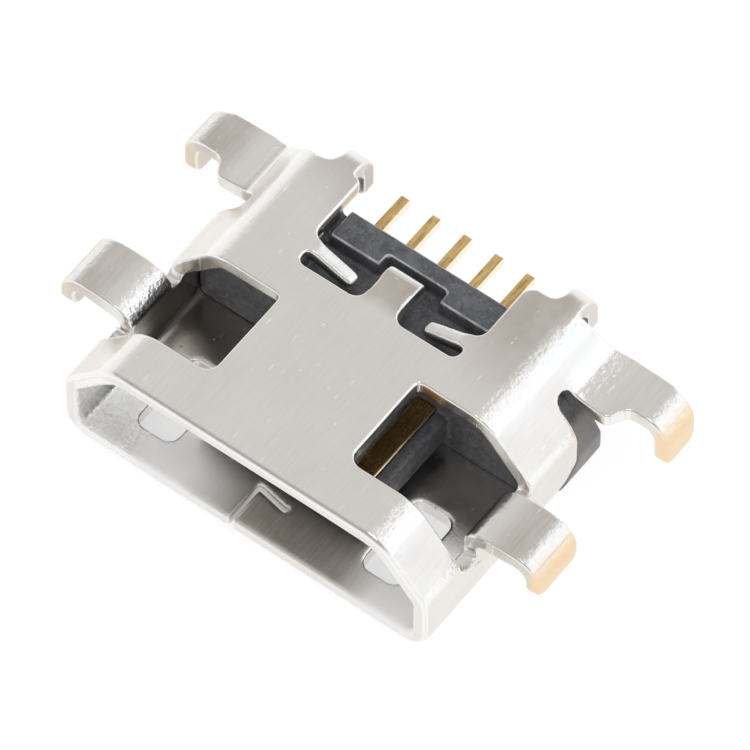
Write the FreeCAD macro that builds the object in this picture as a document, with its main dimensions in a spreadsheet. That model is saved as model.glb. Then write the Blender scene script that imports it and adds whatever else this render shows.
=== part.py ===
import FreeCAD, Part
import math
import os

import Sketcher

# The mouth faces -Y in every body, z = 0 is the underside of the shell and x = 0 its middle.
# Lengths are in millimetres.

CLOSE = 1e-4

SIZES = [
    ("SheetThickness", 0.30, "sheet of the shell"),
    ("MouthWidth", 6.90, "opening of the shell, side to side"),
    ("MouthHeight", 1.85, "opening of the shell, floor to roof"),
    ("WallHeight", 0.93, "upright part of the side wall inside, above the floor"),
    ("SlopeRun", 0.80, "sideways run of the sloping wall inside"),
    ("FloorBend", 0.15, "inner radius of the bends beside the floor"),
    ("KneeBend", 0.16, "inner radius of the bends at both ends of the slope"),
    ("ShellDepth", 5.80, "mouth to the rear edge of the rear ears"),
    ("RimRound", 0.12, "rounding of the rim outside"),
    ("RimLead", 0.09, "rounding of the rim inside"),
    ("WindowHalfGap", 1.42, "middle to the near edge of a window"),
    ("WindowFront", 1.02, "mouth to the front edge of a window"),
    ("WindowLength", 1.90, "window, front to rear"),
    ("WindowFloor", 1.12, "height of the cut wall beside the front ears"),
    ("WindowFrontRound", 0.22, "front corner of a window in the roof"),
    ("WindowRearRound", 0.08, "rear corner of a window in the roof"),
    ("NotchRound", 0.15, "rounded bottom corners beside the front ears"),
    ("SeatHeight", 1.42, "underside of all four ears, where the board goes"),
    ("FrontEarStart", 1.47, "mouth to the front edge of a front ear"),
    ("FrontEarWidth", 1.11, "front ear, front to rear"),
    ("FrontLegOverhang", 1.207, "outer face of a front leg beyond the side wall"),
    ("FrontLegTip", 0.90, "height of the tip of a front leg"),
    ("EarRootBend", 0.12, "inner radius of the bend from the side wall into a front ear"),
    ("LegBend", 0.20, "inner radius of the bend from an ear into its leg"),
    ("LegTipRound", 0.20, "corners of the leg tips"),
    ("RearEarWidth", 1.22, "rear ear at its root, front to rear"),
    ("RearLegOverhang", 1.28, "outer face of a rear leg beyond the side wall"),
    ("RearLegTip", 0.66, "height of the tip of a rear leg"),
    ("RearLegInset", 0.06, "rear edge of a rear leg before the rear edge of its ear"),
    ("RearLegWidth", 0.80, "rear leg, front to rear"),
    ("RearStepNear", 1.17, "outer face of a rear leg to where the ear's front edge steps back"),
    ("RearStepFar", 0.80, "outer face of a rear leg to where that step ends"),
    ("RearStepRound", 0.16, "corners of the step"),
    ("EarFold", 0.15, "rounding of the fold from the slope into a rear ear"),
    ("FloorSetback", 2.04, "rear end of the floor before the rear edge of the ears"),
    ("FloorEndHeight", 0.22, "height where the rear edge of the wall starts to slant back"),
    ("WallSetback", 1.59, "rear edge of the side wall before the rear edge of the ears"),
    ("WallEndHeight", 0.62, "height where the wall reaches that edge"),
    ("WallEndRound", 0.10, "rounding of the corner there"),
    ("SlitLean", 0.05, "how far the front edge of the slit leans back up to its end"),
    ("SlitTop", 1.90, "height of the rounded end of the slit before a rear ear"),
    ("SlitRound", 0.12, "rounding of the end of that slit"),
    ("RoofSetback", 0.23, "end of the roof and its arms before the rear edge of the ears"),
    ("SlotSetback", 2.16, "front edge of the slots in the roof before the rear edge of the ears"),
    ("SlotHalfSpan", 1.62, "middle to the outer end of a slot"),
    ("SlotRound", 0.13, "outer corners of the slots"),
    ("TabWidth", 0.70, "middle tab between the slots"),
    ("TabLength", 0.94, "middle tab from the front edge of the slots"),
    ("TabRootRound", 0.20, "corners at the root of the middle tab"),
    ("TabEndRound", 0.20, "rounded upper edge at the end of the middle tab"),
    ("FingerGap", 0.26, "slot before a finger, front to rear"),
    ("FingerWidth", 0.30, "finger, front to rear"),
    ("FingerRoot", 1.50, "middle to where a finger starts to fall"),
    ("FingerTip", 0.67, "middle to the tip of a finger"),
    ("FingerDrop", 0.30, "fall of a finger from root to tip"),
    ("FingerRound", 0.08, "rounding of the upper and lower edge of a finger's tip"),
    ("FingerTipRound", 0.14, "rounding of a finger's tip seen from above"),
    ("ArmHalfGap", 1.72, "middle to the inner edge of an arm"),
    ("ArmCorner", 0.20, "corner where an arm meets its finger"),
    ("RightArmRound", 0.25, "shoulder at the end of the arm towards +X"),
    ("LeftArmRound", 0.12, "shoulder at the end of the arm towards -X"),
    ("EndTabSpan", 4.64, "distance between the middles of the two end tabs"),
    ("EndTabShift", 0.20, "both end tabs sit this far towards +X"),
    ("EndTabWidth", 0.43, "end tab, side to side"),
    ("EndTabLead", 0.09, "flat start of an end tab behind the arm"),
    ("EndTabRootRound", 0.20, "hollow corner where an end tab leaves its arm"),
    ("EndTabBend", 0.20, "inner radius of the bend into an end tab"),
    ("EndTabTip", 1.42, "height of the lower end of an end tab"),
    ("EndTabRound", 0.14, "lower corners of an end tab"),
    ("SeamSide", 0.30, "middle to the seam in the floor"),
    ("SeamGap", 0.03, "width of the seam"),
    ("LockFront", 0.84, "mouth to the interlock of the seam"),
    ("LockLength", 0.78, "interlock at its narrow side"),
    ("LockReach", 0.63, "sideways length of the interlock"),
    ("LockFlare", 0.12, "widening of the interlock on each side"),
    ("LatchInner", 1.95, "middle to the near edge of a latch hole"),
    ("LatchWidth", 0.77, "latch hole, side to side"),
    ("LatchFront", 0.60, "mouth to the front edge of a latch hole"),
    ("LatchLength", 1.60, "latch hole, front to rear"),
    ("LatchRound", 0.20, "corners of a latch hole"),
    ("FitGap", 0.02, "clearance between the housing and the parts around it"),
    ("HousingSetback", 0.64, "rear face of the housing before the rear edge of the ears"),
    ("BlockLength", 1.86, "housing block, front to rear"),
    ("HousingLift", 0.03, "underside of the housing above the underside of the shell"),
    ("BulgeInset", 0.01, "bare side of the housing behind the outer face of the wall"),
    ("BulgeRound", 0.27, "lower corners of the bare housing"),
    ("BulgeTop", 0.66, "height where the bare sides start to lean inward"),
    ("BulgeSetback", 0.26, "rear end of the bare sides before the rear face of the housing"),
    ("RecessLedge", 0.12, "ledge of the housing between slot and recess"),
    ("RecessDepth", 0.36, "recess under the fingers"),
    ("SlabLength", 0.61, "rear slab of the housing, front to rear"),
    ("SlabDip", 0.26, "how far the recess goes into the slab in the middle"),
    ("SlabDipHalfWidth", 0.62, "middle to the side of that dip"),
    ("SlabHalfWidth", 1.64, "middle to the side of the slab"),
    ("SlabGroove", 0.16, "groove beside the slab"),
    ("SlabGrooveDepth", 0.25, "depth of that groove"),
    ("SlabRound", 0.04, "rounded upper edges of the slab"),
    ("TongueWidth", 3.50, "tongue, side to side"),
    ("TongueThickness", 0.60, "tongue, lower to upper face"),
    ("TongueLift", 0.325, "lower face of the tongue above the floor"),
    ("TongueTip", 0.97, "mouth to the tip of the tongue"),
    ("TongueChamfer", 0.12, "bevel around the tip of the tongue"),
    ("ContactPitch", 0.65, "step from contact to contact"),
    ("StripWidth", 0.40, "contact on the tongue, side to side"),
    ("StripThickness", 0.12, "contact on the tongue, lower to upper face"),
    ("StripProud", 0.02, "contact above the face of the tongue"),
    ("StripTip", 1.15, "mouth to the front end of a contact"),
    ("StripRound", 0.05, "rounded front end of a contact"),
    ("ContactFit", 0.01, "clearance around a contact in the housing"),
    ("RiserSetback", 0.86, "upright step of a contact before the rear face of the housing"),
    ("RiserLength", 0.15, "that step, front to rear"),
    ("TailWidth", 0.20, "tail, side to side"),
    ("TailThickness", 0.15, "tail, lower to upper face"),
    ("TailDrop", 0.02, "underside of the tails below the underside of the ears"),
    ("TailLength", 1.06, "tails behind the rear face of the housing"),
    ("TailRound", 0.03, "rounded tip of a tail"),
]

CONTACTS = 5


class Size:
    """A length together with the formula that drives it."""

    def __init__(self, value, formula):
        self.value = value
        self.formula = formula

    def __add__(self, other):
        return combine(self, "+", other)

    def __sub__(self, other):
        return combine(self, "-", other)

    def __mul__(self, other):
        return combine(self, "*", other)

    def __truediv__(self, other):
        return combine(self, "/", other)

    def __neg__(self):
        return Size(-self.value, "(-1 * %s)" % self.formula)

    def root(self):
        return Size(math.sqrt(self.value), "sqrt(%s)" % self.formula)


def combine(left, sign, right):
    """Join two sizes, or a size and a plain number, into a new size."""
    if not isinstance(right, Size):
        right = Size(float(right), str(right))
    value = {
        "+": left.value + right.value,
        "-": left.value - right.value,
        "*": left.value * right.value,
        "/": left.value / right.value if right.value else 0.0,
    }[sign]
    return Size(value, "(%s %s %s)" % (left.formula, sign, right.formula))


def write_sizes(doc):
    """Fill the table of sizes and hand back each one by its name."""
    sheet = doc.addObject("Spreadsheet::Sheet", "Sizes")
    found = {}
    for row, (name, value, meaning) in enumerate(SIZES, start=1):
        sheet.set("A%d" % row, name)
        sheet.set("B%d" % row, str(value))
        sheet.set("C%d" % row, meaning)
        sheet.setAlias("B%d" % row, name)
        found[name] = Size(value, "Sizes." + name)
    doc.recompute()
    return found


class Builder:
    """Adds sketches and features to one body and checks each step."""

    def __init__(self, doc, label, back):
        self.doc = doc
        self.body = doc.addObject("PartDesign::Body", label)
        self.body.Label = label
        self.body.setExpression("Placement.Base.y", (-back).formula)
        self.planes = {f.Role: f for f in self.body.Origin.OriginFeatures}
        self.count = 0

    def name(self, word):
        self.count += 1
        return "%s_%s_%d" % (self.body.Label, word, self.count)

    def sketch(self, plane, outlines, offset=None):
        """Draw closed outlines on an origin plane moved along its normal."""
        sketch = self.body.newObject("Sketcher::SketchObject", self.name("sketch"))
        sketch.AttachmentSupport = [(self.planes[plane], "")]
        sketch.MapMode = "FlatFace"
        if offset is not None:
            sketch.setExpression("AttachmentOffset.Base.z", offset.formula)
        for outline in outlines:
            draw(sketch, outline)
        self.doc.recompute()
        return sketch

    def grow(self, feature, sign):
        """Recompute and make sure that the body grew or shrank as meant."""
        before = self.volume
        self.doc.recompute()
        if not feature.isValid() or feature.Shape.isNull():
            raise RuntimeError("%s failed" % feature.Label)
        self.volume = feature.Shape.Volume
        if sign and (self.volume - before) * sign <= 0:
            raise RuntimeError("%s changed nothing" % feature.Label)

    volume = 0.0

    def pad(self, plane, outlines, length, offset=None, reverse=False, middle=False):
        profile = self.sketch(plane, outlines, offset)
        feature = self.body.newObject("PartDesign::Pad", self.name("pad"))
        feature.Profile = profile
        feature.setExpression("Length", length.formula)
        feature.Reversed = reverse
        if middle:
            feature.SideType = "Symmetric"
        self.grow(feature, 1)

    def pocket(self, plane, outlines, length, offset=None, reverse=False, middle=False):
        profile = self.sketch(plane, outlines, offset)
        feature = self.body.newObject("PartDesign::Pocket", self.name("pocket"))
        feature.Profile = profile
        feature.setExpression("Length", length.formula)
        feature.Reversed = reverse
        if middle:
            feature.SideType = "Symmetric"
        self.grow(feature, -1)

    def round(self, size, chosen, kind="Fillet"):
        """Round or bevel the edges of the tip that the test picks."""
        base = self.body.Tip
        names = ["Edge%d" % (n + 1) for n, edge in enumerate(base.Shape.Edges) if chosen(edge)]
        if not names:
            raise RuntimeError("no edge picked after %s" % base.Label)
        feature = self.body.newObject("PartDesign::" + kind, self.name(kind.lower()))
        feature.Base = (base, names)
        feature.setExpression("Radius" if kind == "Fillet" else "Size", size.formula)
        self.grow(feature, 0)


def draw(sketch, corners):
    """Draw a closed outline of corners (across, up) or (across, up, radius)."""
    count = len(corners)
    spots = [FreeCAD.Vector(c[0].value, c[1].value, 0) for c in corners]
    leave = []
    arrive = []
    middle = []
    for n, corner in enumerate(corners):
        back = (spots[n - 1] - spots[n]).normalize()
        ahead = (spots[(n + 1) % count] - spots[n]).normalize()
        if len(corner) == 2:
            leave.append(spots[n])
            arrive.append(spots[n])
            middle.append(None)
            continue
        radius = corner[2].value
        half = back.getAngle(ahead) / 2
        inward = (back + ahead).normalize()
        arrive.append(spots[n] + back * (radius / math.tan(half)))
        leave.append(spots[n] + ahead * (radius / math.tan(half)))
        middle.append(spots[n] + inward * (radius / math.sin(half) - radius))

    first = sketch.GeometryCount
    for n in range(count):
        sketch.addGeometry(Part.LineSegment(leave[n], arrive[(n + 1) % count]), False)
    rules = []
    for n, corner in enumerate(corners):
        before = first + (n - 1) % count
        after = first + n
        if middle[n] is None:
            rules.append((Sketcher.Constraint("Coincident", before, 2, after, 1), None))
            anchor, end = after, 1
        else:
            arc = sketch.addGeometry(Part.Arc(arrive[n], middle[n], leave[n]), False)
            anchor, end = sketch.addGeometry(Part.Point(spots[n]), True), 1
            start, stop = 1, 2
            if (sketch.getPoint(arc, 1) - arrive[n]).Length > CLOSE:
                start, stop = 2, 1
            rules.append((Sketcher.Constraint("PointOnObject", anchor, 1, before), None))
            rules.append((Sketcher.Constraint("PointOnObject", anchor, 1, after), None))
            rules.append((Sketcher.Constraint("Tangent", before, 2, arc, start), None))
            rules.append((Sketcher.Constraint("Tangent", arc, stop, after, 1), None))
            rules.append((Sketcher.Constraint("Radius", arc, corner[2].value), corner[2]))
        across = Sketcher.Constraint("DistanceX", -1, 1, anchor, end, corner[0].value)
        up = Sketcher.Constraint("DistanceY", -1, 1, anchor, end, corner[1].value)
        rules.append((across, corner[0]))
        rules.append((up, corner[1]))
    places = sketch.addConstraint([rule for rule, _ in rules])
    for place, (_, size) in zip(places, rules):
        if size is not None:
            label = "rule%d" % place
            sketch.renameConstraint(place, label)
            sketch.setExpression("Constraints." + label, size.formula)


def mirrored(corners):
    """The same outline on the other side of x = 0."""
    return [(-corner[0],) + tuple(corner[1:]) for corner in corners]


def both_sides(corners):
    return [corners, mirrored(corners)]


def box(left, right, low, high, radius=None):
    """Four corners of a rectangle, rounded where a radius is given."""
    corners = [(left, low), (right, low), (right, high), (left, high)]
    if radius is None:
        return corners
    return [corner + (radius,) for corner in corners]


def lies_at(edge, x=None, y=None, z=None):
    """Tell whether an edge keeps to the given coordinates, x on either side."""
    ends = edge.FirstParameter, edge.LastParameter
    for parameter in (ends[0], (ends[0] + ends[1]) / 2, ends[1]):
        point = edge.valueAt(parameter)
        for wanted, found in ((x, abs(point.x)), (y, point.y), (z, point.z)):
            if wanted is not None and abs(found - wanted.value) > CLOSE:
                return False
    return True


def section(size, grown, floor):
    """Cross-section of the shell's inside moved outward by `grown`."""
    half = size["MouthWidth"] / 2
    knee = size["SheetThickness"] + size["WallHeight"]
    roof = size["SheetThickness"] + size["MouthHeight"]
    run = size["SlopeRun"]
    rise = roof - knee
    slant = (run * run + rise * rise).root()
    low_knee = knee + grown * (slant - rise) / run
    high_knee = half - run + grown * (slant - run) / rise
    bend = size["FloorBend"] + grown
    knee_bend = size["KneeBend"] + grown
    right = [
        (half + grown, floor, bend),
        (half + grown, low_knee, knee_bend),
        (high_knee, roof + grown, knee_bend),
    ]
    return right + [mirrored(right)[n] for n in (2, 1, 0)]


def slot_front(size):
    """Mouth to the front edge of the slots in the roof."""
    return size["ShellDepth"] - size["SlotSetback"]


def roof_end(size):
    """Mouth to the rear end of the roof and its arms."""
    return size["ShellDepth"] - size["RoofSetback"]


def housing_end(size):
    """Mouth to the rear face of the housing."""
    return size["ShellDepth"] - size["HousingSetback"]


def tail_end(size):
    """Mouth to the tip of the tails."""
    return housing_end(size) + size["TailLength"]


def wall_face(size):
    """Middle to the outer face of the side wall."""
    return size["MouthWidth"] / 2 + size["SheetThickness"]


def slope_at(size, height, grown):
    """Where the sloping wall, moved outward by `grown`, is at a height."""
    knee = size["SheetThickness"] + size["WallHeight"]
    rise = size["SheetThickness"] + size["MouthHeight"] - knee
    run = size["SlopeRun"]
    slant = (run * run + rise * rise).root()
    return size["MouthWidth"] / 2 + grown * slant / rise - (height - knee) * run / rise


def build_tube(work, size):
    """Bent sheet around the mouth, with its rim rounded."""
    sheet = size["SheetThickness"]
    nothing = sheet - sheet
    outside = section(size, sheet, nothing)
    inside = section(size, nothing, sheet)
    work.pad("XZ_Plane", [outside, inside], size["ShellDepth"], reverse=True)
    rim = [f for f in work.body.Tip.Shape.Faces if abs(f.CenterOfMass.y) < CLOSE][0]
    outer = rim.OuterWire.Edges
    work.round(size["RimRound"], lambda edge: any(edge.isSame(other) for other in outer))
    work.round(size["RimLead"], lambda edge: lies_at(edge, y=nothing) and reaches_inside(edge, size))


def reaches_inside(edge, size):
    """Tell the inner edges of the rim from the outer ones."""
    point = edge.valueAt((edge.FirstParameter + edge.LastParameter) / 2)
    sheet = size["SheetThickness"].value
    half = size["MouthWidth"].value / 2
    roof = sheet + size["MouthHeight"].value
    slope = slope_at(size, size["SheetThickness"] + size["MouthHeight"], size["SheetThickness"] * 0)
    beside = (point.z - roof) / (size["MouthHeight"].value - size["WallHeight"].value)
    limit = slope.value - beside * size["SlopeRun"].value
    return sheet - CLOSE < point.z < roof + CLOSE and abs(point.x) < min(half, limit) + CLOSE


def build_front_ears(work, size):
    """Windows through roof, slope and wall, and the bent ears inside them."""
    sheet = size["SheetThickness"]
    half = size["MouthWidth"] / 2
    roof = sheet * 2 + size["MouthHeight"]
    front = size["WindowFront"]
    rear = front + size["WindowLength"]
    beyond = half + sheet * 2
    window = [
        (size["WindowHalfGap"], front, size["WindowFrontRound"]),
        (beyond, front),
        (beyond, rear),
        (size["WindowHalfGap"], rear, size["WindowRearRound"]),
    ]
    work.pocket("XY_Plane", both_sides(window), roof - size["WindowFloor"], offset=roof)

    seat = size["SeatHeight"]
    top = seat + sheet
    root = size["EarRootBend"]
    curl = size["LegBend"]
    foot = size["WindowFloor"] - sheet
    reach = wall_face(size) + size["FrontLegOverhang"]
    ear = [
        (half, foot),
        (half, top, root + sheet),
        (reach, top, curl + sheet),
        (reach, size["FrontLegTip"]),
        (reach - sheet, size["FrontLegTip"]),
        (reach - sheet, seat, curl),
        (half + sheet, seat, root),
        (half + sheet, foot),
    ]
    start = size["FrontEarStart"]
    work.pad("XZ_Plane", both_sides(ear), size["FrontEarWidth"], offset=-start, reverse=True)
    end = start + size["FrontEarWidth"]
    sides = (front, start, end, rear)
    floor = size["WindowFloor"]
    work.round(
        size["NotchRound"],
        lambda edge: any(lies_at(edge, y=side, z=floor) for side in sides),
    )
    tip = size["FrontLegTip"]
    work.round(
        size["LegTipRound"],
        lambda edge: lies_at(edge, y=start, z=tip) or lies_at(edge, y=end, z=tip),
    )


def build_rear_side(work, size):
    """Stepped rear end of floor, walls and slopes, seen from the side."""
    sheet = size["SheetThickness"]
    depth = size["ShellDepth"]
    below = -sheet
    floor_end = depth - size["FloorSetback"]
    wall_end = depth - size["WallSetback"]
    slit_front = wall_end + size["SlitLean"]
    ear_start = depth - size["RearEarWidth"]
    cut = [
        (floor_end, below),
        (floor_end, size["FloorEndHeight"], size["WallEndRound"]),
        (wall_end, size["WallEndHeight"], size["WallEndRound"]),
        (wall_end, sheet + size["WallHeight"]),
        (slit_front, size["SlitTop"], size["SlitRound"]),
        (ear_start, size["SlitTop"], size["SlitRound"]),
        (ear_start, size["SeatHeight"]),
        (depth + sheet, size["SeatHeight"]),
        (depth + sheet, below),
    ]
    work.pocket("YZ_Plane", [cut], size["MouthWidth"] + sheet * 4, middle=True)


def build_rear_ears(work, size):
    """Rear ears that go on from the slopes, stepped and bent into legs."""
    sheet = size["SheetThickness"]
    depth = size["ShellDepth"]
    seat = size["SeatHeight"]
    top = seat + sheet
    curl = size["LegBend"]
    reach = wall_face(size) + size["RearLegOverhang"]
    start = depth - size["RearEarWidth"]
    fold_out = slope_at(size, top, sheet)
    fold_in = slope_at(size, seat, sheet - sheet)
    ear = [
        (fold_out, top),
        (reach, top, curl + sheet),
        (reach, size["RearLegTip"]),
        (reach - sheet, size["RearLegTip"]),
        (reach - sheet, seat, curl),
        (fold_in, seat),
    ]
    work.pad("XZ_Plane", both_sides(ear), size["RearEarWidth"], offset=-start, reverse=True)
    leg_end = depth - size["RearLegInset"]
    leg_start = leg_end - size["RearLegWidth"]
    near = reach - size["RearStepNear"]
    far = reach - size["RearStepFar"]
    step = [
        (near, start - sheet),
        (near, start),
        ((near + far) / 2, start, size["RearStepRound"]),
        (far, leg_start, size["RearStepRound"]),
        (reach + sheet, leg_start),
        (reach + sheet, start - sheet),
    ]
    trim = [
        (reach - curl - sheet, depth + sheet),
        (reach - curl - sheet, depth),
        (reach - sheet, leg_end),
        (reach + sheet, leg_end),
        (reach + sheet, depth + sheet),
    ]
    shapes = both_sides(step) + both_sides(trim)
    work.pocket("XY_Plane", shapes, top - size["RearLegTip"] + sheet * 2, offset=top + sheet)
    work.round(
        size["EarFold"],
        lambda edge: lies_at(edge, x=fold_out, z=top) or lies_at(edge, x=fold_in, z=seat),
    )
    tip = size["RearLegTip"]
    work.round(
        size["LegTipRound"],
        lambda edge: lies_at(edge, y=leg_start, z=tip) or lies_at(edge, y=leg_end, z=tip),
    )


def build_roof(work, size):
    """Slots, middle tab and arms at the rear of the roof."""
    sheet = size["SheetThickness"]
    roof = sheet * 2 + size["MouthHeight"]
    tab = size["TabWidth"] / 2
    slot = slot_front(size)
    tab_end = slot + size["TabLength"]
    finger = slot + size["FingerGap"]
    arm_end = roof_end(size)
    past = size["ShellDepth"] + sheet
    knee = size["MouthWidth"] / 2 - size["SlopeRun"]

    def half(shoulder):
        return [
            (tab, tab_end),
            (tab, slot, size["TabRootRound"]),
            (size["SlotHalfSpan"], slot, size["SlotRound"]),
            (size["SlotHalfSpan"], finger),
            (size["FingerRoot"], finger),
            (size["FingerRoot"], finger + size["FingerWidth"]),
            (size["ArmHalfGap"], finger + size["FingerWidth"], size["ArmCorner"]),
            (size["ArmHalfGap"], arm_end, shoulder),
            (knee, arm_end),
            (knee, past),
        ]

    outline = half(size["RightArmRound"]) + mirrored(half(size["LeftArmRound"]))[::-1]
    work.pocket("XY_Plane", [outline], sheet * 2, offset=roof + sheet / 2)
    work.round(size["TabEndRound"], lambda edge: lies_at(edge, y=tab_end, z=roof))

    foot = wall_face(size)
    lean = [(knee, arm_end), (foot, size["ShellDepth"]), (foot, past), (knee, past)]
    drop = roof - size["SeatHeight"] + sheet
    work.pocket("XY_Plane", both_sides(lean), drop, offset=roof + sheet / 2)


def build_fingers(work, size):
    """Fingers that fall from the arms into the slots, with rounded tips."""
    sheet = size["SheetThickness"]
    roof = sheet * 2 + size["MouthHeight"]
    run = size["FingerRoot"] - size["FingerTip"]
    drop = size["FingerDrop"]
    slant = (run * run + drop * drop).root()
    tip = size["FingerTip"]
    tip_top = roof - drop
    root = size["FingerRoot"] + sheet / 2
    finger = [
        (root, roof),
        (size["FingerRoot"], roof),
        (tip, tip_top, size["FingerRound"]),
        (tip + sheet * drop / slant, tip_top - sheet * run / slant, size["FingerRound"]),
        (size["FingerRoot"] + sheet * (slant - run) / drop, roof - sheet),
        (root, roof - sheet),
    ]
    front = slot_front(size) + size["FingerGap"]
    rear = front + size["FingerWidth"]
    work.pad("XZ_Plane", both_sides(finger), size["FingerWidth"], offset=-front, reverse=True)
    middle = (size["FingerRoot"] + tip) / 2
    past = size["FingerWidth"] / 4
    around = [
        (middle, front),
        (tip, front, size["FingerTipRound"]),
        (tip, rear, size["FingerTipRound"]),
        (middle, rear),
        (middle, rear + past),
        (tip - past, rear + past),
        (tip - past, front - past),
        (middle, front - past),
    ]
    work.pocket("XY_Plane", both_sides(around), drop + sheet * 2, offset=roof + sheet / 2)


def build_end_tabs(work, size):
    """Tabs at the ends of the arms, bent down behind the housing."""
    sheet = size["SheetThickness"]
    roof = sheet * 2 + size["MouthHeight"]
    under = roof - sheet
    bend = size["EndTabBend"]
    arm_end = roof_end(size)
    front = arm_end + size["EndTabLead"] + bend
    tip = size["EndTabTip"]
    tab = [
        (arm_end - sheet, under),
        (front, under, bend),
        (front, tip),
        (front + sheet, tip),
        (front + sheet, roof, bend + sheet),
        (arm_end - sheet, roof),
    ]
    width = size["EndTabWidth"]
    hollow = size["EndTabRootRound"]
    spare = sheet / 10
    sides = []
    for middle in (size["EndTabShift"] + size["EndTabSpan"] / 2, size["EndTabShift"] - size["EndTabSpan"] / 2):
        left = middle - width / 2
        right = middle + width / 2
        work.pad("YZ_Plane", [tab], width + hollow + spare, offset=left - hollow - spare)
        beside = [
            (left, front + sheet * 2),
            (left, arm_end, hollow),
            (left - hollow - spare * 2, arm_end),
            (left - hollow - spare * 2, front + sheet * 2),
        ]
        work.pocket("XY_Plane", [beside], roof - tip + sheet, offset=roof + sheet / 2)
        sides += [left, right]
    sides = [side if side.value > 0 else -side for side in sides]
    work.round(
        size["EndTabRound"],
        lambda edge: any(lies_at(edge, x=side, z=tip) for side in sides),
    )


def build_floor(work, size):
    """Seam with its interlock and the two latch holes."""
    sheet = size["SheetThickness"]
    seam = -size["SeamSide"]
    gap = size["SeamGap"]
    reach = seam + size["LockReach"]
    front = size["LockFront"]
    rear = front + size["LockLength"]
    flare = size["LockFlare"]
    past = size["ShellDepth"] - size["FloorSetback"] + sheet
    near = [
        (seam, -sheet),
        (seam, front),
        (reach, front - flare),
        (reach, rear + flare),
        (seam, rear),
        (seam, past),
    ]
    far = [
        (seam + gap, past),
        (seam + gap, rear + gap),
        (reach + gap, rear + flare + gap),
        (reach + gap, front - flare - gap),
        (seam + gap, front - gap),
        (seam + gap, -sheet),
    ]
    inner = size["LatchInner"]
    latch_front = size["LatchFront"]
    latch = box(
        inner,
        inner + size["LatchWidth"],
        latch_front,
        latch_front + size["LatchLength"],
        size["LatchRound"],
    )
    work.pocket("XY_Plane", [near + far] + both_sides(latch), sheet * 2, offset=sheet * 1.5)


def build_shell(doc, size):
    work = Builder(doc, "shell", tail_end(size) / 2)
    build_tube(work, size)
    build_floor(work, size)
    build_front_ears(work, size)
    build_rear_side(work, size)
    build_rear_ears(work, size)
    build_roof(work, size)
    build_fingers(work, size)
    build_end_tabs(work, size)
    return work.body


def contact_place(size, number):
    """Middle of a contact, numbered from the left."""
    return size["ContactPitch"] * (number - (CONTACTS - 1) / 2)


def tongue_top(size):
    return size["SheetThickness"] + size["TongueLift"] + size["TongueThickness"]


def build_housing(doc, size):
    """Block that fills the rear of the shell and carries the tongue."""
    work = Builder(doc, "housing", tail_end(size) / 2)
    sheet = size["SheetThickness"]
    fit = size["FitGap"]
    end = housing_end(size)
    build_bare_sides(work, size)
    front = end - size["BlockLength"]
    block = section(size, -fit, sheet)
    work.pad("XZ_Plane", [block], size["BlockLength"], offset=-front, reverse=True)

    half = size["TongueWidth"] / 2
    low = sheet + size["TongueLift"]
    tip = size["TongueTip"]
    tongue = box(-half, half, low, tongue_top(size))
    work.pad("XZ_Plane", [tongue], front - tip, offset=-tip, reverse=True)
    work.round(size["TongueChamfer"], lambda edge: lies_at(edge, y=tip), kind="Chamfer")
    build_recess(work, size)
    build_channels(work, size)
    return work.body


def build_bare_sides(work, size):
    """Part of the housing that shows behind the floor and the side walls."""
    sheet = size["SheetThickness"]
    fit = size["FitGap"]
    outer = wall_face(size) - size["BulgeInset"]
    inner = size["MouthWidth"] / 2 - fit
    lift = size["HousingLift"]
    lean_end = sheet + size["WallHeight"]
    start = size["ShellDepth"] - size["FloorSetback"] + fit
    end = housing_end(size) - size["BulgeSetback"]
    right = [(outer, lift, size["BulgeRound"]), (outer, size["BulgeTop"]), (inner, lean_end)]
    work.pad("XZ_Plane", [right + mirrored(right)[::-1]], end - start, offset=-start, reverse=True)
    wall = size["ShellDepth"] - size["WallSetback"] + fit
    behind_wall = [
        (start - sheet, size["FloorEndHeight"] - fit * 2),
        (start, size["FloorEndHeight"] - fit * 2),
        (wall, size["WallEndHeight"] - fit),
        (wall, lean_end + sheet),
        (start - sheet, lean_end + sheet),
    ]
    work.pocket("YZ_Plane", [behind_wall], outer * 2 + sheet, middle=True)


def build_recess(work, size):
    """Hollow under the fingers and the slab behind it."""
    fit = size["FitGap"]
    top = size["SheetThickness"] + size["MouthHeight"] - fit
    near = size["ArmHalfGap"]
    dip = size["SlabDipHalfWidth"]
    end = housing_end(size)
    slab = end - size["SlabLength"]
    right = [
        (near, slot_front(size) + size["RecessLedge"]),
        (near, slab),
        (dip, slab),
        (dip, slab + size["SlabDip"]),
    ]
    recess = right + mirrored(right)[::-1]
    work.pocket("XY_Plane", [recess], size["RecessDepth"], offset=top)
    inner = size["SlabHalfWidth"]
    groove = box(inner, inner + size["SlabGroove"], slab - fit, end + fit)
    work.pocket("XY_Plane", both_sides(groove), size["SlabGrooveDepth"], offset=top)
    work.round(
        size["SlabRound"],
        lambda edge: lies_at(edge, z=top) and edge.valueAt(edge.FirstParameter).y > slab.value - CLOSE
        and max(abs(v.Point.x) for v in edge.Vertexes) < inner.value + CLOSE,
    )


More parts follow.
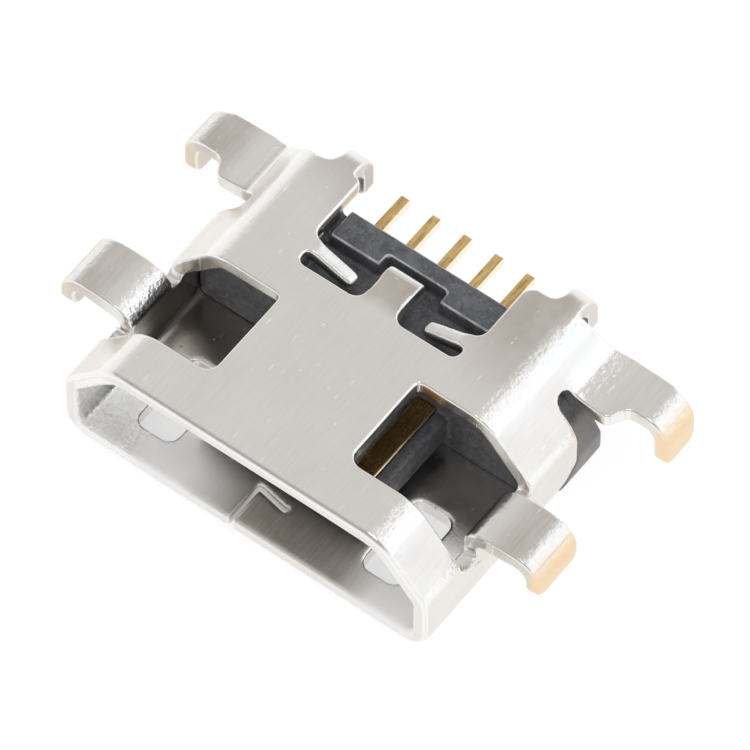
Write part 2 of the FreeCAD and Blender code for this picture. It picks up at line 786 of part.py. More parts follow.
def build_channels(work, size):
    """Channels in which the contacts lie."""
    fit = size["ContactFit"]
    top = tongue_top(size) + size["StripProud"]
    low = top - size["StripThickness"]
    seat = size["SeatHeight"] - size["TailDrop"]
    tail_top = seat + size["TailThickness"]
    riser = housing_end(size) - size["RiserSetback"]
    strip_half = size["StripWidth"] / 2 + fit
    tail_half = size["TailWidth"] / 2 + fit
    start = size["StripTip"] - fit
    strips = []
    risers = []
    tails = []
    for number in range(CONTACTS):
        at = contact_place(size, number)
        strips.append(box(at - strip_half, at + strip_half, low, top + fit))
        risers.append(box(at - tail_half, at + tail_half, low, tail_top + fit))
        tails.append(box(at - tail_half, at + tail_half, seat, tail_top + fit))
    work.pocket("XZ_Plane", strips, riser - start, offset=-start)
    work.pocket("XZ_Plane", risers, size["RiserLength"] + fit * 2, offset=fit - riser)
    work.pocket("XZ_Plane", tails, size["RiserSetback"], offset=-riser)


def build_contact(doc, size, number):
    """Strip on the tongue, an upright step inside the block and a tail behind it."""
    work = Builder(doc, "contact_%d" % (number + 1), tail_end(size) / 2)
    top = tongue_top(size) + size["StripProud"]
    low = top - size["StripThickness"]
    seat = size["SeatHeight"] - size["TailDrop"]
    tail_top = seat + size["TailThickness"]
    tip = size["StripTip"]
    riser = housing_end(size) - size["RiserSetback"]
    riser_end = riser + size["RiserLength"]
    reach = tail_end(size)
    at = contact_place(size, number)
    strip_half = size["StripWidth"] / 2
    tail_half = size["TailWidth"] / 2
    strip = box(tip, riser, low, top)
    work.pad("YZ_Plane", [strip], size["StripWidth"], offset=at - strip_half)
    bent = [
        (riser - size["TailThickness"], low),
        (riser_end, low),
        (riser_end, seat),
        (reach, seat),
        (reach, tail_top),
        (riser, tail_top),
        (riser, top),
        (riser - size["TailThickness"], top),
    ]
    work.pad("YZ_Plane", [bent], size["TailWidth"], offset=at - tail_half)
    work.round(size["StripRound"], lambda edge: lies_at(edge, y=tip, z=top))
    work.round(size["TailRound"], lambda edge: lies_at(edge, y=reach))
    return work.body


def check(doc):
    """Stop where an object failed or a body is not a sound solid."""
    for item in doc.Objects:
        if "Invalid" in item.State or "Error" in item.State:
            raise RuntimeError("%s is %s" % (item.Label, item.State))
        if item.isDerivedFrom("PartDesign::Body"):
            if item.Shape.isNull() or not item.Shape.isValid():
                raise RuntimeError("%s has no sound shape" % item.Label)
            if len(item.Shape.Solids) != 1:
                raise RuntimeError("%s is not one solid" % item.Label)


def main():
    os.makedirs("parts", exist_ok=True)
    doc = FreeCAD.newDocument("Receptacle")
    size = write_sizes(doc)
    bodies = [build_shell(doc, size), build_housing(doc, size)]
    for number in range(CONTACTS):
        bodies.append(build_contact(doc, size, number))
    doc.recompute()
    check(doc)
    for body in bodies:
        body.Shape.exportStep(os.path.join("parts", body.Label + ".step"))


main()
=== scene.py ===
import bpy
import bmesh
import math
from mathutils import Matrix, Vector


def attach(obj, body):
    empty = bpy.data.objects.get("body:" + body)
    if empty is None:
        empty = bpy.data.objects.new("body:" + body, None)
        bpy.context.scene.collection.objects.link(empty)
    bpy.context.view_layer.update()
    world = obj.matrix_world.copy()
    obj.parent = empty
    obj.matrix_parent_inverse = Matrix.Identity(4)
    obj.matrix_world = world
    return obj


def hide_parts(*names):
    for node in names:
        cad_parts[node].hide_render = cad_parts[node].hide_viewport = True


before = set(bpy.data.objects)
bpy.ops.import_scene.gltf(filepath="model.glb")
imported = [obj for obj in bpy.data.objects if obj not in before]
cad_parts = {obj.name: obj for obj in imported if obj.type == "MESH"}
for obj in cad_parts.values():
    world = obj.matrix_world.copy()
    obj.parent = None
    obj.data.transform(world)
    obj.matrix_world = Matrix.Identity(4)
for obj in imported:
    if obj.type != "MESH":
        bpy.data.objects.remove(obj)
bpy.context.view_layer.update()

MM = 0.001

# Viewing angle of the photograph in degrees, its scale, and where its camera stands
CAMERA_TURN = 36.924
CAMERA_HEIGHT = 56.619
PIXELS_PER_MM = 60.483
FRAME_PIXELS = 750
SENSOR = 36.0
NEARNESS = 0.0057805
AIM = Vector((0.0, -0.61, 1.0))
AIM_ACROSS = 0.6731
AIM_UP = 0.4707
CLIP = (0.001, 10.0)

# Sizes of the shell in millimetres
SHEET = 0.30
MOUTH_WIDTH = 6.90
MOUTH_HEIGHT = 1.85
WALL_HEIGHT = 0.93
SLOPE_RUN = 0.80
SEAT_HEIGHT = 1.42

# Radius of each bend at the sheet's middle, and half the length over which it is spread
KNEE_RADIUS = 0.46
SOFT_KNEE = 0.36
EAR_ROOT_RADIUS = 0.42
SOFT_EAR_ROOT = 0.55
EAR_FOLD_RADIUS = 0.30
SOFT_EAR_FOLD = 0.60

# Where the front ears bend: along y, from this far out, and between two heights
FRONT_EAR = (-1.66, -0.51)
EAR_ROOT_OUT = 3.0
EAR_ROOT_HEIGHTS = (0.9, 2.0)

# Where the rear ears fold: behind this y, over a fade, from this far out, between two heights
REAR_EAR = 1.35
REAR_EAR_FADE = 0.3
EAR_FOLD_OUT = 2.9
EAR_FOLD_HEIGHTS = (1.1, 2.3)

# Where edges are rounder: the fingers in the roof's slots, and the legs by a share
FINGER = (0.77, 1.11)
FINGER_ROOT = 1.55
FINGER_FADE = 0.15
LEG_START = 4.2
LEG_FADE = 0.3
LEG_ROUNDNESS = 0.45

# The floor's seam across x, its interlock along y, and how far their sides are drawn back
SEAM_ACROSS = (-0.35, 0.40)
LOCK_ALONG = (-2.60, 0.30)
SEAM_ROLL = 0.02
LOCK_ROLL = 0.032

# Grain of a dressed skin in millimetres, its smoothing passes, and the share of faces kept
SHELL_SKIN = (0.026, 20, 0.25)
HOUSING_SKIN = (0.03, 8, 0.3)
CONTACT_SKIN = (0.02, 7, 0.5)
WELD = 0.0005

# Inside of the shell and its zones, each from where it begins to where it is full
INNER_WALL = (3.52, 3.46)
INNER_ROOF = (2.25, 2.10)
FACING_IN = (0.3, 0.1)
FRONT_DEPTH = (-0.9, -1.5)
MOUTH_DEPTH = (-1.8, -2.6)
LEFT_END = (-0.5, -1.4)
RIGHT_END = (1.8, 2.5)
DIMPLED_END = (-2.0, -2.5)
# Left part of the shell's inside, which painted shade darkens
LEFT_HOLLOW = (-1.0, -1.4)
SEAM_SIDE = (-0.34, -0.26)

# Outside of the shell: painted shade on the rear and the middle tab, a painted highlight on the
# tab's bend, ears, legs, and bends
REAR = (0.6, 2.6)
REAR_LEAN = 0.35
REAR_SIDE = (2.9, 2.5)
TAB_SIDE = (0.40, 0.32)
TAB_DEPTH = (0.5, 0.8)
TAB_BEND_SIDE = (0.42, 0.40)
TAB_BEND = (1.26, 1.30)
EARS = (3.75, 4.30)
RIGHT_REAR_EAR = (5.0, 6.2)
LEFT_REAR_EAR = (4.5, 6.0)
LEG_OUT = (4.62, 4.88)
LEG_DOWN = (1.74, 1.38)
BEND_SIDE = (2.1, 2.4)
SLOPE_TILT = 0.7547

# Housing: the slab's upper edges, scuffed and with a painted highlight, and the sides that the
# shell leaves bare
SLAB_TOP = (2.04, 2.10)
SLAB_DEPTH = (0.8, 1.2)
BARE_SIDE = (3.4, 3.5)
BARE_HEIGHT = (0.9, 1.9)

# Middle part of a noise's values, and directions of streaks as scales
NOISE = (0.3, 0.7)
BRUSHING = (24.0, 1.4, 24.0)
ROLLING = (16.0, 2.2, 16.0)

# Lamps: name, direction, distance and size in millimetres, radiance, whether metal mirrors it
LAMPS = (
    ("right_back", (0.78, 0.42, 0.45), 120, 90, 1.0, False),
    ("left_front", (-0.6, -0.6, 0.55), 140, 70, 1.2, False),
    ("top", (0.15, -0.2, 1.0), 150, 45, 1.6, True),
)
LAMP_AIM = Vector((0.0, 0.0, 1.2))

# Surroundings that the metal mirrors, and the plain light for everything else
HORIZON = 0.95
OVERHEAD = 0.40
SKY_RISE = (0.30, 0.62)
ROOF_SIDE = (-0.33, 0.44, 0.835)
ROOF_EDGE = (0.70, 0.90)
ROOF_LIGHT = 0.735
BRIGHT_SIDE = (0.72, 0.42, 0.45)
BRIGHT_EDGE = (0.62, 0.86)
BRIGHT_LIGHT = 1.12
WHITE = (1.0, 1.0, 1.0, 1.0)
COOL = (0.96, 0.99, 1.03, 1.0)
PLAIN = 0.78

# Floor: its paper, how much of it is plain white, and the darker place under the object
PAPER = ((0.93, 0.93, 0.93, 1.0), (0.95, 0.95, 0.95, 1.0))
GLOW = 1.04
GLOW_SHARE = 0.90
GLOW_SHARE_UNDER = 0.50
UNDER_SIDE = (3.5, 3.0)
UNDER_MIDDLE = 0.8
UNDER_DEPTH = (2.4, 2.0)
FLOOR_HALF = 600
FLOOR_DROP = 0.002


def make_camera():
    """Camera at the photograph's angle, with the photograph's scale and nearness."""
    turn = math.radians(CAMERA_TURN)
    height = math.radians(CAMERA_HEIGHT)
    right = Vector((math.cos(turn), math.sin(turn), 0.0))
    flat = math.cos(height)
    back = Vector((math.sin(turn) * flat, -math.cos(turn) * flat, math.sin(height)))
    up = back.cross(right)
    data = bpy.data.cameras.new("camera")
    data.sensor_width = SENSOR
    data.lens = PIXELS_PER_MM / NEARNESS * SENSOR / FRAME_PIXELS
    data.clip_start, data.clip_end = CLIP
    camera = placed("camera", data)
    spot = AIM + right * AIM_ACROSS + up * AIM_UP + back / NEARNESS
    facing = Matrix((right, up, back)).transposed().to_4x4()
    camera.matrix_world = Matrix.Translation(spot * MM) @ facing
    bpy.context.scene.camera = camera


class Graph:
    """Small helper that adds shader nodes and links them."""

    def __init__(self, owner, coordinate):
        self.owner = owner
        owner.use_nodes = True
        self.tree = owner.node_tree
        self.tree.nodes.clear()
        self.coordinate = self.add("ShaderNodeTexCoord").outputs[coordinate]

    def add(self, kind, **values):
        node = self.tree.nodes.new(kind)
        for key, value in values.items():
            setattr(node, key, value)
        return node

    def join(self, source, target):
        self.tree.links.new(source, target)

    def put(self, socket, value):
        if isinstance(value, bpy.types.NodeSocket):
            self.join(value, socket)
        else:
            socket.default_value = value

    def scaled(self, scale, shift=(0.0, 0.0, 0.0)):
        """Object coordinates in millimetres times a scale."""
        node = self.add("ShaderNodeMapping")
        self.join(self.coordinate, node.inputs["Vector"])
        node.inputs["Scale"].default_value = [s / MM for s in scale]
        node.inputs["Location"].default_value = shift
        return node.outputs["Vector"]

    def parts(self, vector):
        node = self.add("ShaderNodeSeparateXYZ")
        self.join(vector, node.inputs[0])
        return node.outputs[0], node.outputs[1], node.outputs[2]

    def facing(self):
        return self.parts(self.add("ShaderNodeNewGeometry").outputs["Normal"])

    def noise(self, scale, detail=3.0, rough=0.55, vector=None, shift=(0.0, 0.0, 0.0)):
        node = self.add("ShaderNodeTexNoise")
        self.join(vector or self.scaled((1, 1, 1), shift), node.inputs["Vector"])
        node.inputs["Scale"].default_value = scale
        node.inputs["Detail"].default_value = detail
        node.inputs["Roughness"].default_value = rough
        return node.outputs["Fac"]

    def scratches(self, turn, width, length, kept):
        """Sparse short marks on surfaces facing up, turned about +Z, sizes in millimetres."""
        turned = self.add("ShaderNodeMapping")
        self.join(self.coordinate, turned.inputs["Vector"])
        turned.inputs["Rotation"].default_value = (0.0, 0.0, turn)
        cells = (0.1 / width / MM, 0.1 / length / MM, 0.3 / MM)
        turned.inputs["Scale"].default_value = cells
        dots = self.add("ShaderNodeTexVoronoi")
        self.join(turned.outputs["Vector"], dots.inputs["Vector"])
        dots.inputs["Scale"].default_value = 1.0
        chance, strength, _ = self.parts(dots.outputs["Color"])
        mark = self.spread(dots.outputs["Distance"], 0.16, 0.08)
        mark = self.times(mark, self.math("LESS_THAN", chance, kept))
        return self.times(mark, self.spread(strength, 0.0, 1.0, 0.3, 1.0))

    def spread(self, value, low, high, to_low=0.0, to_high=1.0, smooth=False):
        """The range from low to high, which may fall, stretched over another one."""
        node = self.add("ShaderNodeMapRange", clamp=True)
        if smooth:
            node.interpolation_type = "SMOOTHSTEP"
        self.put(node.inputs["Value"], value)
        node.inputs["From Min"].default_value = low
        node.inputs["From Max"].default_value = high
        node.inputs["To Min"].default_value = to_low
        node.inputs["To Max"].default_value = to_high
        return node.outputs["Result"]

    def math(self, operation, first, second=0.0):
        node = self.add("ShaderNodeMath", operation=operation)
        self.put(node.inputs[0], first)
        self.put(node.inputs[1], second)
        return node.outputs[0]

    def chain(self, operation, values):
        result = values[0]
        for value in values[1:]:
            result = self.math(operation, result, value)
        return result

    def times(self, *values):
        return self.chain("MULTIPLY", values)

    def plus(self, *values):
        return self.chain("ADD", values)

    def minus(self, first, second):
        return self.math("SUBTRACT", first, second)

    def most(self, *values):
        return self.chain("MAXIMUM", values)

    def size(self, value):
        return self.math("ABSOLUTE", value)

    def mix(self, amount, first, second):
        node = self.add("ShaderNodeMix", data_type="RGBA")
        self.put(node.inputs[0], amount)
        self.put(node.inputs[6], first)
        self.put(node.inputs[7], second)
        return node.outputs[2]

    def blend(self, amount, first, second):
        node = self.add("ShaderNodeMix", data_type="FLOAT")
        self.put(node.inputs[0], amount)
        self.put(node.inputs[2], first)
        self.put(node.inputs[3], second)
        return node.outputs[0]

    def towards(self, direction, edge, full):
        """How near a direction comes to a given one, between two cosines."""
        node = self.add("ShaderNodeVectorMath", operation="DOT_PRODUCT")
        self.join(self.coordinate, node.inputs[0])
        node.inputs[1].default_value = Vector(direction).normalized()
        return self.spread(node.outputs["Value"], edge, full, smooth=True)

    def seen(self):
        """1 for what the camera sees, also in metal and through glass."""
        path = self.add("ShaderNodeLightPath")
        ways = ("Is Camera Ray", "Is Glossy Ray", "Is Transmission Ray")
        return self.most(*[path.outputs[way] for way in ways])

    def bump(self, height, distance_mm, strength=1.0, normal=None):
        node = self.add("ShaderNodeBump")
        self.put(node.inputs["Height"], height)
        node.inputs["Distance"].default_value = distance_mm * MM
        self.put(node.inputs["Strength"], strength)
        if normal is not None:
            self.join(normal, node.inputs["Normal"])
        return node.outputs["Normal"]

    def surface(self, **values):
        shader = self.add("ShaderNodeBsdfPrincipled")
        for key, value in values.items():
            self.put(shader.inputs[key.replace("_", " ")], value)
        output = self.add("ShaderNodeOutputMaterial")
        self.join(shader.outputs[0], output.inputs["Surface"])
        return self.owner


class Paint(Graph):
    """Graph of a new material."""

    def __init__(self, name):
        super().__init__(bpy.data.materials.new(name), "Object")


class Skin(Paint):
    """Paint that knows its place in millimetres and which way it faces."""

    def __init__(self, name):
        super().__init__(name)
        self.x, self.y, self.z = self.parts(self.scaled((1, 1, 1)))
        self.side = self.size(self.x)
        self.nx, self.ny, self.nz = self.facing()
        self.flat = self.most(self.size(self.nz), self.size(self.nx), self.size(self.ny))


class Nickel(Skin):
    """Skin of the shell, with the zones that its colour, gloss and relief depend on."""

    def __init__(self):
        super().__init__("nickel")
        self.streak = self.noise(1.0, 4.0, 0.6, vector=self.scaled(BRUSHING))
        tilt = self.size(self.minus(self.size(self.nx), SLOPE_TILT))
        self.off_slope = self.spread(tilt, 0.0, 0.05)
        inward = self.spread(self.times(self.nx, self.math("SIGN", self.x)), *FACING_IN)
        walls = self.spread(self.side, *INNER_WALL)
        self.inside = self.times(walls, self.spread(self.z, *INNER_ROOF), inward)
        self.front = self.times(self.inside, self.spread(self.y, *FRONT_DEPTH))
        self.mouth = self.times(self.inside, self.spread(self.y, *MOUTH_DEPTH))
        self.ends = self.most(self.spread(self.x, *LEFT_END), self.spread(self.x, *RIGHT_END))
        self.dimpled = self.times(self.mouth, self.spread(self.x, *DIMPLED_END))
        marks = self.most(
            self.scratches(0.5, 0.015, 0.06, 0.45),
            self.scratches(-0.3, 0.018, 0.024, 0.42),
        )
        scuffed = self.spread(self.noise(0.9, 2.0, shift=(4.0, 2.0, 0.0)), 0.38, 0.54)
        self.scratch = self.times(marks, scuffed)

    def ears(self):
        """Painted shade on the ears: least at the right rear, most at the left rear."""
        ears = self.spread(self.side, *EARS, 0.0, 0.6, smooth=True)
        right_rear = self.spread(self.plus(self.x, self.y), *RIGHT_REAR_EAR, 1.0, 0.2)
        left_rear = self.spread(self.minus(self.y, self.x), *LEFT_REAR_EAR, 1.0, 1.3)
        return self.times(ears, right_rear, left_rear)

    def painted_shade(self, ears):
        """Painted shade: cloudy darkening of the roof's rear, the middle tab and the ears."""
        lean = self.plus(self.y, self.times(self.x, REAR_LEAN))
        rear = self.spread(lean, *REAR, 0.0, 0.8, smooth=True)
        rear = self.times(rear, self.spread(self.side, *REAR_SIDE))
        tab = self.spread(self.y, *TAB_DEPTH, 0.0, 0.9)
        tab = self.times(self.spread(self.side, *TAB_SIDE), tab)
        cloud = self.noise(1.4, 4.0, 0.6, shift=(1.0, 7.0, 0.0))
        return self.times(self.most(rear, tab, ears), self.spread(cloud, *NOISE, 0.55, 1.0))

    def bright(self):
        """Painted highlights on rolled edges and the bend of the middle tab, and painted light on
        the front of the mouth's inside, most at its ends.
        """
        rolled = self.times(self.spread(self.flat, 0.985, 0.9), self.off_slope)
        fold = self.spread(self.y, *TAB_BEND, 0.0, 0.6)
        fold = self.times(self.spread(self.side, *TAB_BEND_SIDE), fold)
        front = self.times(self.front, self.spread(self.ends, 0.0, 1.0, 0.2, 1.0))
        return self.most(self.times(rolled, 0.75), front, fold)

    def worn_and_shaded_floor(self):
        """Brown streaks in the middle of the mouth's floor, right of the seam: wear from a plug,
        and painted shade on that side of the seam.
        """
        middle = self.spread(self.ends, 0.0, 1.0, 1.0, 0.0)
        floor = self.times(self.spread(self.x, *SEAM_SIDE), self.spread(self.nz, 0.90, 0.98))
        streaks = self.spread(self.streak, 0.35, 0.65, 0.25, 0.6)
        return self.times(self.front, middle, floor, streaks)

    def legs(self):
        """Gold tint of the solder legs, with a ragged upper edge, fuller on the right."""
        ragged = self.plus(self.z, self.spread(self.noise(9.0, 4.0), *NOISE, -0.08, 0.08))
        out = self.spread(self.side, *LEG_OUT, smooth=True)
        low = self.spread(ragged, *LEG_DOWN, smooth=True)
        return self.times(out, low, self.spread(self.x, -1.0, 1.0, 0.35, 0.92))

    def bent(self):
        """Where bending has roughened the sheet, more on the right, and the dimpled wall."""
        bent = self.times(
            self.spread(self.flat, 0.998, 0.975),
            self.spread(self.off_slope, 0.0, 1.0, 0.1, 1.0),
            self.spread(self.size(self.ny), 0.2, 0.05),
            self.spread(self.side, *BEND_SIDE),
        )
        ear_or_right = self.plus(self.x, self.spread(self.side, 3.4, 3.5, 0.0, 9.0))
        bent = self.times(bent, self.spread(ear_or_right, -0.5, 0.5, 0.2, 1.0))
        hollow = self.times(self.spread(self.side, 4.1, 3.9), self.spread(self.nx, -0.1, -0.3))
        hollow = self.times(hollow, self.spread(self.x, 3.2, 3.4))
        bent = self.times(bent, self.spread(hollow, 0.0, 1.0, 1.0, 0.2))
        low_inside = self.times(self.inside, self.spread(self.z, 1.2, 1.0))
        bent = self.times(bent, self.spread(low_inside, 0.0, 1.0, 1.0, 0.0))
        return self.most(bent, self.times(self.mouth, 0.06), self.dimpled)

    def colour(self):
        clean = (0.86, 0.83, 0.795, 1.0)
        warm = (0.82, 0.78, 0.735, 1.0)
        # darker colour, used for painted shade and for brushing streaks
        dull = (0.50, 0.445, 0.39, 1.0)
        painted_highlight = (0.97, 0.96, 0.945, 1.0)
        brown = (0.60, 0.53, 0.46, 1.0)
        gilt = (0.93, 0.70, 0.43, 1.0)
        bare = (1.0, 0.99, 0.97, 1.0)
        ears = self.ears()
        tint = self.mix(self.spread(self.noise(0.9, 3.0), 0.35, 0.7), clean, warm)
        # painted shade darkens the roof's rear, the middle tab and the ears
        tint = self.mix(self.painted_shade(ears), tint, dull)
        brushed = self.spread(self.streak, 0.35, 0.65)
        brushed = self.times(brushed, self.spread(ears, 0.0, 0.6, 0.08, 0.32))
        tint = self.mix(brushed, tint, dull)
        # painted shade inside the shell on the left, behind the front of the mouth
        left = self.spread(self.x, *LEFT_HOLLOW, 0.0, 0.7)
        tint = self.mix(self.times(self.minus(self.inside, self.front), left), tint, dull)
        # painted highlights on edges and the tab's bend, painted light at the front of the mouth
        tint = self.mix(self.bright(), tint, painted_highlight)
        # wear streaks, with painted shade, right of the seam
        tint = self.mix(self.worn_and_shaded_floor(), tint, brown)
        tint = self.mix(self.legs(), tint, gilt)
        return self.mix(self.times(self.scratch, 0.8), tint, bare)

    def metal(self):
        """Full metal, but matt and satin in patches at the ends of the mouth."""
        patches = self.spread(self.noise(1.6, 4.0, 0.6), 0.25, 0.6, 0.6, 0.95)
        dimpled = self.spread(self.dimpled, 0.0, 1.0, 1.0, 0.55)
        return self.minus(1.0, self.times(self.mouth, self.ends, patches, dimpled))

    def rough(self):
        rough = self.spread(self.noise(3.0, 5.0, 0.65), *NOISE, 0.18, 0.27)
        matt_mouth = self.times(self.minus(self.mouth, self.dimpled), 0.25)
        return self.plus(rough, matt_mouth, self.times(self.scratch, 0.3))

    def relief(self):
        """Waviness, plating grain, brushing, scratches and the hammered look of bends."""
        hammered = self.spread(self.bent(), 0.0, 1.0, 0.01, 0.85)
        skin = self.bump(self.noise(0.8, 2.0, 0.5), 0.03, 0.5)
        skin = self.bump(self.noise(26.0, 3.0, 0.6), 0.004, 0.5, normal=skin)
        skin = self.bump(self.streak, 0.003, 0.5, normal=skin)
        skin = self.bump(self.scratch, 0.006, 0.6, normal=skin)
        return self.bump(self.noise(11.0, 2.0, 0.5), 0.03, hammered, normal=skin)


def nickel():
    """Bright nickel over stamped steel: fine grain, rough bends, scratches, warm solder legs."""
    g = Nickel()
    return g.surface(
        Base_Color=g.colour(), Metallic=g.metal(), Roughness=g.rough(), Normal=g.relief()
    )


def black_plastic():
    """Glass-filled black moulding with a scuffed, faintly mottled skin, scuffed upper slab edges
    with a painted highlight, and paler bare sides.
    """
    g = Skin("black_plastic")
    dark = (0.070, 0.072, 0.079, 1.0)
    light = (0.155, 0.158, 0.172, 1.0)
    vein = (0.04, 0.041, 0.046, 1.0)
    speck = (0.30, 0.305, 0.32, 1.0)
    scuff_and_highlight = (0.62, 0.625, 0.64, 1.0)
    pale_warm_grey = (0.36, 0.335, 0.32, 1.0)
    colour = g.mix(g.spread(g.noise(3.0, 5.0, 0.6), *NOISE), dark, light)
    veins = g.size(g.minus(g.noise(2.6, 4.0, 0.6, shift=(2.0, 5.0, 1.0)), 0.5))
    colour = g.mix(g.spread(veins, 0.035, 0.0, 0.0, 0.65), colour, vein)
    specks = g.spread(g.noise(14.0, 2.0, 0.5), 0.62, 0.72, 0.0, 0.35)
    colour = g.mix(specks, colour, speck)
    # lighter upper edges of the slab: scuffing and a painted highlight
    worn = g.times(
        g.spread(g.flat, 0.94, 0.82),
        g.spread(g.noise(5.0, 3.0), 0.35, 0.6, 0.45, 1.0),
        g.spread(g.z, *SLAB_TOP),
        g.spread(g.y, *SLAB_DEPTH),
    )
    colour = g.mix(g.times(worn, 0.9), colour, scuff_and_highlight)
    # the bare sides are painted a paler warm grey, most low down
    bare = g.times(g.spread(g.side, *BARE_SIDE), g.spread(g.z, *BARE_HEIGHT, 1.0, 0.35))
    colour = g.mix(g.times(bare, 0.55), colour, pale_warm_grey)
    rough = g.spread(g.noise(8.0, 4.0), *NOISE, 0.30, 0.46)
    skin = g.bump(g.noise(26.0, 3.0, 0.6), 0.004, 0.5)
    skin = g.bump(g.noise(4.0, 2.0), 0.03, 0.3, normal=skin)
    return g.surface(Base_Color=colour, Metallic=0.0, Roughness=rough, Normal=skin)


def gold():
    """Thin gold over copper alloy, with rolling streaks, darker blotches and a painted highlight
    on the sides.
    """
    g = Paint("gold")
    bright = (0.80, 0.56, 0.24, 1.0)
    dull = (0.50, 0.31, 0.12, 1.0)
    pale = (1.0, 0.92, 0.72, 1.0)
    streak = g.noise(1.0, 4.0, 0.65, vector=g.scaled(ROLLING))
    blotch = g.noise(6.0, 3.0)
    worn = g.times(g.spread(streak, 0.36, 0.60), g.spread(blotch, 0.30, 0.52))
    colour = g.mix(worn, bright, dull)
    nx, _, _ = g.facing()
    # painted highlight on the sides, chosen by the normal
    colour = g.mix(g.spread(g.size(nx), 0.25, 0.55), colour, pale)
    rough = g.spread(streak, *NOISE, 0.18, 0.34)
    skin = g.bump(streak, 0.006, 0.5)
    skin = g.bump(blotch, 0.008, 0.4, normal=skin)
    return g.surface(Base_Color=colour, Metallic=1.0, Roughness=rough, Normal=skin)


def always(spot):
    return 1.0


def soften_bend(vertices, corner, turned_from, turned_to, radius, soft, share=always):
    """Spread a bend of the shell over a longer arc, moving the sheet a little into the corner."""
    angle = turned_to - turned_from
    middle = (turned_to + turned_from) / 2
    short = radius * abs(angle) / 2
    for vertex in vertices:
        across = abs(vertex.co.x) - corner[0]
        up = vertex.co.z - corner[1]
        along = abs(across * math.cos(middle) - up * math.sin(middle))
        if along < soft:
            shift = (soft - along) ** 2 / soft - max(short - along, 0.0) ** 2 / short
            shift *= angle / 4 * share(vertex.co)
            vertex.co.x -= math.copysign(shift * math.sin(middle), vertex.co.x)
            vertex.co.z -= shift * math.cos(middle)


def within(value, limits):
    return limits[0] < value < limits[1]


def rear_ear_share(spot):
    """0 in front of the rear ears, growing to 1 on them."""
    return min(1.0, (spot.y - REAR_EAR) / REAR_EAR_FADE)


def soften_bends(mesh):
    """Softer bends between roof and slopes, at the front ears' roots and the rear ears' folds."""
    slope = math.atan2(MOUTH_HEIGHT - WALL_HEIGHT, SLOPE_RUN)
    half = MOUTH_WIDTH / 2
    knee = SHEET + WALL_HEIGHT
    upper = [v for v in mesh.vertices if v.co.z > knee and abs(v.co.x) < half + SHEET]
    corner = (half - SLOPE_RUN, SHEET + MOUTH_HEIGHT)
    soften_bend(upper, corner, 0.0, slope, KNEE_RADIUS, SOFT_KNEE)

    root = [
        v for v in mesh.vertices
        if within(v.co.y, FRONT_EAR)
        and abs(v.co.x) > EAR_ROOT_OUT
        and within(v.co.z, EAR_ROOT_HEIGHTS)
    ]
    top = SEAT_HEIGHT + SHEET
    soften_bend(root, (half, top), -math.pi / 2, 0.0, EAR_ROOT_RADIUS, SOFT_EAR_ROOT)

    fold = [
        v for v in mesh.vertices
        if v.co.y > REAR_EAR
        and abs(v.co.x) > EAR_FOLD_OUT
        and within(v.co.z, EAR_FOLD_HEIGHTS)
    ]
    out = SHEET / math.cos(math.pi / 2 - slope) - (top - knee) / math.tan(slope)
    corner = (half + out, top)
    soften_bend(fold, corner, slope, 0.0, EAR_FOLD_RADIUS, SOFT_EAR_FOLD, rear_ear_share)


def widen_seam(work):
    """Draw the two sides of the floor seam back, so that their edges can roll over."""
    ways = {}
    for face in work.faces:
        middle = face.calc_center_median()
        upright = abs(face.normal.z) <= 0.1
        if middle.z > SHEET or not upright or not within(middle.x, SEAM_ACROSS):
            continue
        if abs(face.normal.x) > 0.9 or within(middle.y, LOCK_ALONG):
            for vertex in face.verts:
                known = ways.setdefault(vertex, [])
                if all(face.normal.dot(other) < 0.9 for other in known):
                    known.append(face.normal.copy())
    for vertex, normals in ways.items():
        for normal in normals:
            vertex.co -= normal * (SEAM_ROLL if abs(normal.x) > 0.9 else LOCK_ROLL)


def clamped(value):
    return max(0.0, min(1.0, value))


def finger_share(spot):
    """1 on the two fingers in the roof's slots, fading to 0 at their roots."""
    if not within(spot.y, FINGER) or spot.z < WALL_HEIGHT + SHEET:
        return 0.0
    return clamped((FINGER_ROOT - abs(spot.x)) / FINGER_FADE)


def rounder_share(spot):
    """Where edges are rounder: the fingers fully and the legs a little."""
    leg = LEG_ROUNDNESS * clamped((abs(spot.x) - LEG_START) / LEG_FADE)
    return max(finger_share(spot), leg)


def placed(name, data):
    piece = bpy.data.objects.new(name, data)
    bpy.context.scene.collection.objects.link(piece)
    return piece


def evaluated(rough):
    """The mesh that an object's modifiers make, in place of the object."""
    seen = rough.evaluated_get(bpy.context.evaluated_depsgraph_get())
    mesh = bpy.data.meshes.new_from_object(seen)
    bpy.data.objects.remove(rough)
    return mesh


def smoothed(piece, passes, group=""):
    roll = piece.modifiers.new("rolled edges", "SMOOTH")
    roll.factor = 0.5
    roll.iterations = passes
    roll.vertex_group = group


def even_skin(node, grain, opened):
    """A CAD node's surface in millimetres, made anew from faces of one size."""
    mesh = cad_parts[node].data.copy()
    mesh.transform(Matrix.Scale(1.0 / MM, 4))
    welded = bmesh.new()
    welded.from_mesh(mesh)
    bmesh.ops.remove_doubles(welded, verts=welded.verts, dist=WELD)
    if opened:
        opened(welded)
    welded.to_mesh(mesh)
    welded.free()
    rough = placed(node + "_rough", mesh)
    skin = rough.modifiers.new("even skin", "REMESH")
    skin.mode = "VOXEL"
    skin.voxel_size = grain
    skin.use_smooth_shade = True
    return placed(node + "_even", evaluated(rough))


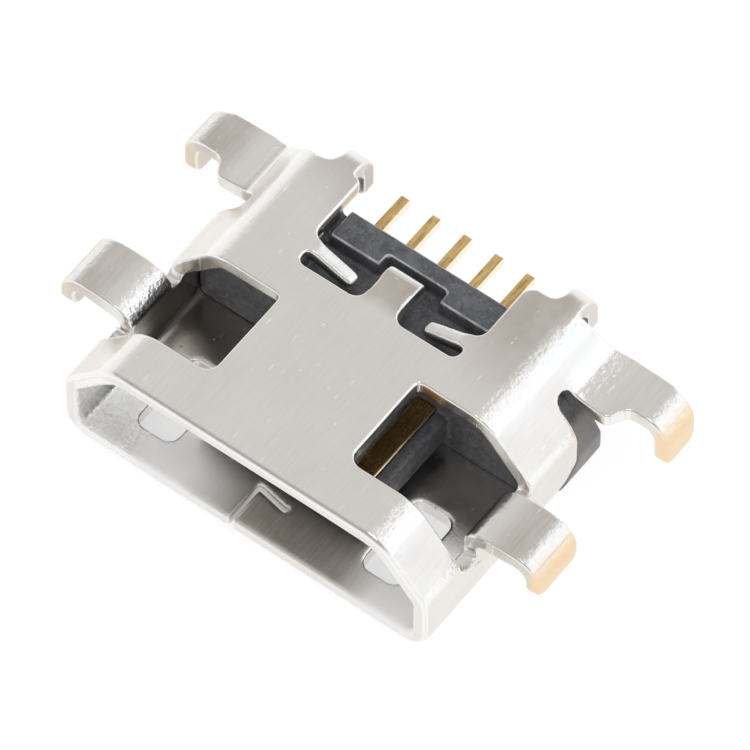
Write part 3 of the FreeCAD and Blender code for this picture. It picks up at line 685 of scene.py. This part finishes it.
def dressed(node, material, slot, skin, opened=None, shaped=None, rounder=None):
    """A copy of a CAD node with its edges rolled, standing for it."""
    grain, passes, share = skin
    rough = even_skin(node, grain, opened)
    smoothed(rough, passes)
    if rounder:
        group = rough.vertex_groups.new(name="rounder")
        for vertex in rough.data.vertices:
            weight = rounder(vertex.co)
            if weight:
                group.add([vertex.index], weight, "REPLACE")
        smoothed(rough, passes * 2, "rounder")
    fewer = rough.modifiers.new("fewer faces on the flats", "DECIMATE")
    fewer.ratio = share
    finished = evaluated(rough)
    if shaped:
        shaped(finished)
    finished.transform(Matrix.Scale(MM, 4))
    finished.materials.clear()
    finished.materials.append(material)
    for face in finished.polygons:
        face.use_smooth = True
    piece = placed(node + "_finished", finished)
    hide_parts(node)
    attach(piece, "root")


def softbox(name, direction, distance_mm, size_mm, radiance, mirrored):
    """A square lamp that shines at the middle of the object from a direction."""
    way = Vector(direction).normalized()
    data = bpy.data.lights.new(name, "AREA")
    data.shape = "SQUARE"
    data.size = size_mm * MM
    data.energy = radiance * math.pi * (size_mm * MM) ** 2
    lamp = placed(name, data)
    lamp.visible_glossy = mirrored
    spot = (LAMP_AIM + way * distance_mm) * MM
    facing = way.to_track_quat("Z", "Y").to_matrix().to_4x4()
    lamp.matrix_world = Matrix.Translation(spot) @ facing


def make_world():
    """An even light, mirrored as white low down, darker overhead and with two pale boards."""
    world = bpy.data.worlds.new("studio")
    bpy.context.scene.world = world
    g = Graph(world, "Generated")
    _, _, up = g.parts(g.coordinate)
    sky = g.spread(up, *SKY_RISE, HORIZON, OVERHEAD, smooth=True)
    sky = g.blend(g.towards(ROOF_SIDE, *ROOF_EDGE), sky, ROOF_LIGHT)
    board = g.towards(BRIGHT_SIDE, *BRIGHT_EDGE)
    sky = g.blend(board, sky, BRIGHT_LIGHT)
    seen = g.seen()
    light = g.add("ShaderNodeBackground")
    g.put(light.inputs["Color"], g.mix(g.times(board, seen), WHITE, COOL))
    g.put(light.inputs["Strength"], g.blend(seen, PLAIN, sky))
    output = g.add("ShaderNodeOutputWorld")
    g.join(light.outputs[0], output.inputs[0])


def floor_paper():
    """Paper that looks white and still takes the object's shadow, most of it underneath."""
    g = Paint("floor")
    paper = g.add("ShaderNodeBsdfDiffuse")
    g.put(paper.inputs["Color"], g.mix(g.noise(0.15, 2.0), *PAPER))
    glow = g.add("ShaderNodeEmission")
    glow.inputs["Strength"].default_value = GLOW
    x, y, _ = g.parts(g.scaled((1, 1, 1)))
    depth = g.size(g.plus(y, UNDER_MIDDLE))
    under = g.times(g.spread(g.size(x), *UNDER_SIDE), g.spread(depth, *UNDER_DEPTH))
    share = g.spread(under, 0.0, 1.0, GLOW_SHARE, GLOW_SHARE_UNDER)
    join = g.add("ShaderNodeMixShader")
    g.join(g.times(g.seen(), share), join.inputs[0])
    g.join(paper.outputs[0], join.inputs[1])
    g.join(glow.outputs[0], join.inputs[2])
    output = g.add("ShaderNodeOutputMaterial")
    g.join(join.outputs[0], output.inputs["Surface"])
    return g.owner


def make_floor():
    half = FLOOR_HALF * MM
    mesh = bpy.data.meshes.new("floor")
    corners = [(-half, -half, 0), (half, -half, 0), (half, half, 0), (-half, half, 0)]
    mesh.from_pydata(corners, [], [(0, 1, 2, 3)])
    mesh.materials.append(floor_paper())
    floor = placed("floor", mesh)
    floor.location.z = -FLOOR_DROP * MM


def main():
    bpy.context.scene.view_settings.view_transform = "Standard"
    make_camera()
    make_world()
    make_floor()
    for lamp in LAMPS:
        softbox(*lamp)
    changes = (widen_seam, soften_bends, rounder_share)
    dressed("shell", nickel(), "nickel_shell", SHELL_SKIN, *changes)
    dressed("housing", black_plastic(), "black_housing", HOUSING_SKIN)
    plating = gold()
    for number in range(1, 6):
        dressed("contact_%d" % number, plating, "gold_contact", CONTACT_SKIN)


main()
bpy.context.view_layer.update()
